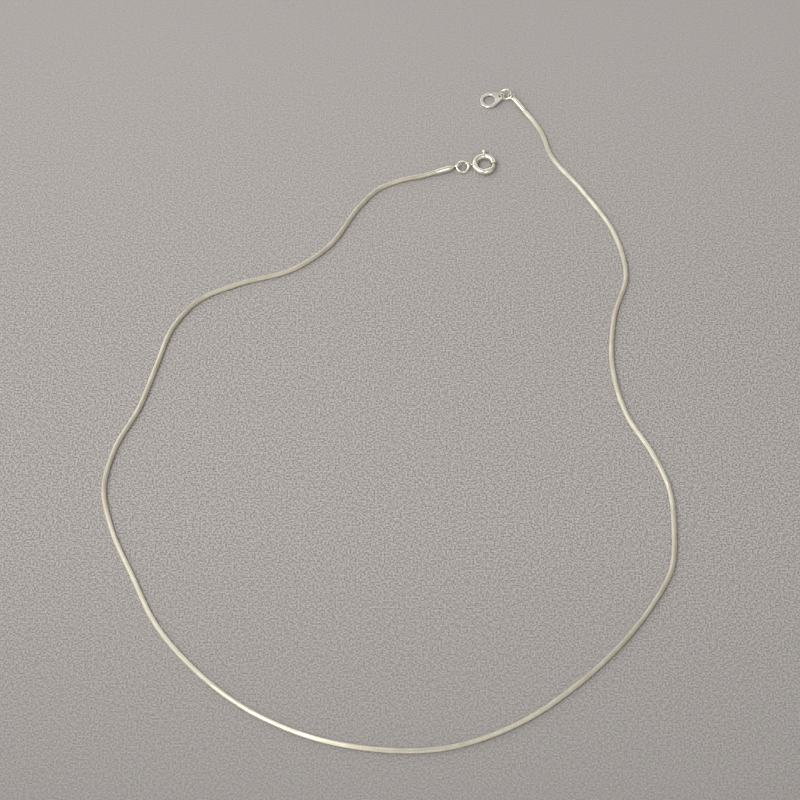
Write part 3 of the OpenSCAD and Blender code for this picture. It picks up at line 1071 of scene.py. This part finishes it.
# %% The bolt and its lever
BOLT_FIT = 0.1
BOLT_SEAT_DEG = 3
BOLT_TAIL_DEG = 8
BOLT_EDGE = 0.08
BOLT_STEPS = 72
BOLT_AROUND = 32
LEVER_BALL_D = 1.0
LEVER_GAP = 0.12
BALL_STEPS = 14
# Smallest section at the ball's far pole, which a loft can't close to a point
POLE_R = 0.004

bolt_r = CLASP_TUBE_D / 2 - CLASP_WALL - BOLT_FIT
lever_r = CLASP_D / 2 + LEVER_GAP + LEVER_BALL_D / 2


def lever():
    """A peg along +X from inside the bolt, with a round head."""
    neck_r, ball_r = LEVER_NECK_D / 2, LEVER_BALL_D / 2
    # the peg is straight and widens a little just before the ball
    profile = [(clasp_ring_r, neck_r), (lever_r - ball_r * 1.25, neck_r)]
    profile.append((lever_r - ball_r * 1.05, neck_r * 1.12))
    meet = math.asin(neck_r / ball_r)
    for step in range(BALL_STEPS + 1):
        a = meet + (math.pi - meet) * step / BALL_STEPS
        profile.append((lever_r - ball_r * math.cos(a), max(ball_r * math.sin(a), POLE_R)))
    return solid_loft("lever", [flattened(x, r, r) for x, r in profile])


def ring_bolt():
    """The bolt about Z in its shut place, with its lever."""
    bolt = arc_of_wire("clasp_bolt", clasp_ring_r, bolt_r, MOUTH_FROM_DEG - BOLT_SEAT_DEG,
                       LEVER_DEG + BOLT_TAIL_DEG, edge=BOLT_EDGE, steps=BOLT_STEPS, around=BOLT_AROUND)
    peg = lever()
    peg.data.transform(turn_about("Z", math.radians(LEVER_DEG)))
    combine(bolt, peg, "UNION")
    return bolt


clasp_bolt = ring_bolt()
put(clasp_bolt, clasp_turn, clasp_at)
finish_piece(clasp_bolt, wire_silver, "ring_bolt", body="bolt")

# %% [markdown]
# The end tag is a flat drop, stamped from sheet and tumbled, so its edges are soft. Its
# outline is the line that a thread would take round two discs. We draw that outline, and a
# circle for each hole, at several distances from the edge, which gives the rounding.

# %% Outlines of the end tag
TAG_LEN = 2.8
TAG_D = 4.0
TAG_HOLE_D = 2.6
TAG_SMALL_D = 1.6
TAG_T = 0.5
TAG_ROUND = 0.13
DROP_STEPS = 44
BIG_HOLE_STEPS = 56
SMALL_HOLE_STEPS = 32


def drop_outline(inset):
    """The thread line round the two discs, moved in by inset: big end first, then small."""
    big, small = TAG_D / 2 - inset, TAG_SMALL_D / 2 - inset
    lean_in = math.acos((big - small) / TAG_LEN)
    line = []
    for k in range(DROP_STEPS + 1):
        a = (math.pi - lean_in) * (2 * k / DROP_STEPS - 1)
        line.append((TAG_LEN + big * math.cos(a), big * math.sin(a)))
    small_steps = DROP_STEPS // 2
    for k in range(small_steps + 1):
        a = math.pi - lean_in + 2 * lean_in * k / small_steps
        line.append((small * math.cos(a), small * math.sin(a)))
    return line


def big_hole(inset):
    """The large hole's outline, widened by inset."""
    r = TAG_HOLE_D / 2 + inset
    return [(TAG_LEN + r * math.cos(a), r * math.sin(a)) for a in full_turn(BIG_HOLE_STEPS)]


def small_hole(inset):
    """The small hole's outline, widened by inset."""
    r = EYE_HOLE_D / 2 + inset
    return [(r * math.cos(a), r * math.sin(a)) for a in full_turn(SMALL_HOLE_STEPS)]


def edge_column():
    """Inset and height of the loops that round an edge, from the lower face to the upper."""
    stops = [(0.0, 0.0)]
    for step in range(EDGE_STEPS + 1):
        a = math.radians(step * EDGE_STEP_DEG)
        height = TAG_T / 2 - TAG_ROUND + TAG_ROUND * math.sin(a)
        stops.append((TAG_ROUND * (1 - math.cos(a)), height))
    return [(inset, -z) for inset, z in reversed(stops[1:])] + stops


print("loops from face to face:", len(edge_column()))

# %% [markdown]
# Each outline makes a wall with rounded edges. The flat face between the outer wall and the
# two holes is filled by bmesh, which can do that with loops inside loops. The tag hangs on
# its jump ring by the small hole and lies down on the table with its large end.

# %% End tag
TAG_DIR = 198


def add_wall(build, outline):
    """A wall along an outline. Returns its lowest and its highest loop of points."""
    loops = []
    for inset, z in edge_column():
        loops.append([build.verts.new((x, y, z)) for x, y in outline(inset)])
    for low, high in zip(loops, loops[1:]):
        for k in range(len(low)):
            n = (k + 1) % len(low)
            build.faces.new((low[k], low[n], high[n], high[k]))
    return loops[0], loops[-1]


def end_tag(name):
    """The tag in the XY plane, its small hole at the origin and its large end towards +X."""
    build = bmesh.new()
    rims = [add_wall(build, outline) for outline in (drop_outline, big_hole, small_hole)]
    for end in (0, 1):
        edges = []
        for rim in (loops[end] for loops in rims):
            edges += [build.edges.get((rim[k], rim[(k + 1) % len(rim)])) for k in range(len(rim))]
        bmesh.ops.triangle_fill(build, use_beauty=True, edges=edges)
    bmesh.ops.recalc_face_normals(build, faces=build.faces)
    mesh = bpy.data.meshes.new(name)
    build.to_mesh(mesh)
    build.free()
    tag = bpy.data.objects.new(name, mesh)
    scene.collection.objects.link(tag)
    return tag


tag_small_at = tag_eye - 2 * eye_reach * level(STAND_DIR)
tag_tilt = math.asin((tag_small_at[2] - TAG_T / 2) / (TAG_LEN + TAG_D / 2))
tag_turn = turn_about("Z", math.radians(TAG_DIR)) @ turn_about("Y", tag_tilt)
tag = end_tag("drop_end_tag")
put(tag, tag_turn, tag_small_at)
finish_piece(tag, polished_silver, "end_tag")

# %% [markdown]
# Last, we print the box of what is shown beside the box of the solids. The pieces that we
# built have to keep close to the model's own size.

# %% Print the sizes
shown_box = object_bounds()
sizes = {
    "cad_box": [[float(v) for v in corner] for corner in cad_box],
    "visual_box": [[float(v) for v in corner] for corner in shown_box],
}
for box_name, box in sizes.items():
    print(box_name, "in mm:", [in_mm(corner) for corner in box])
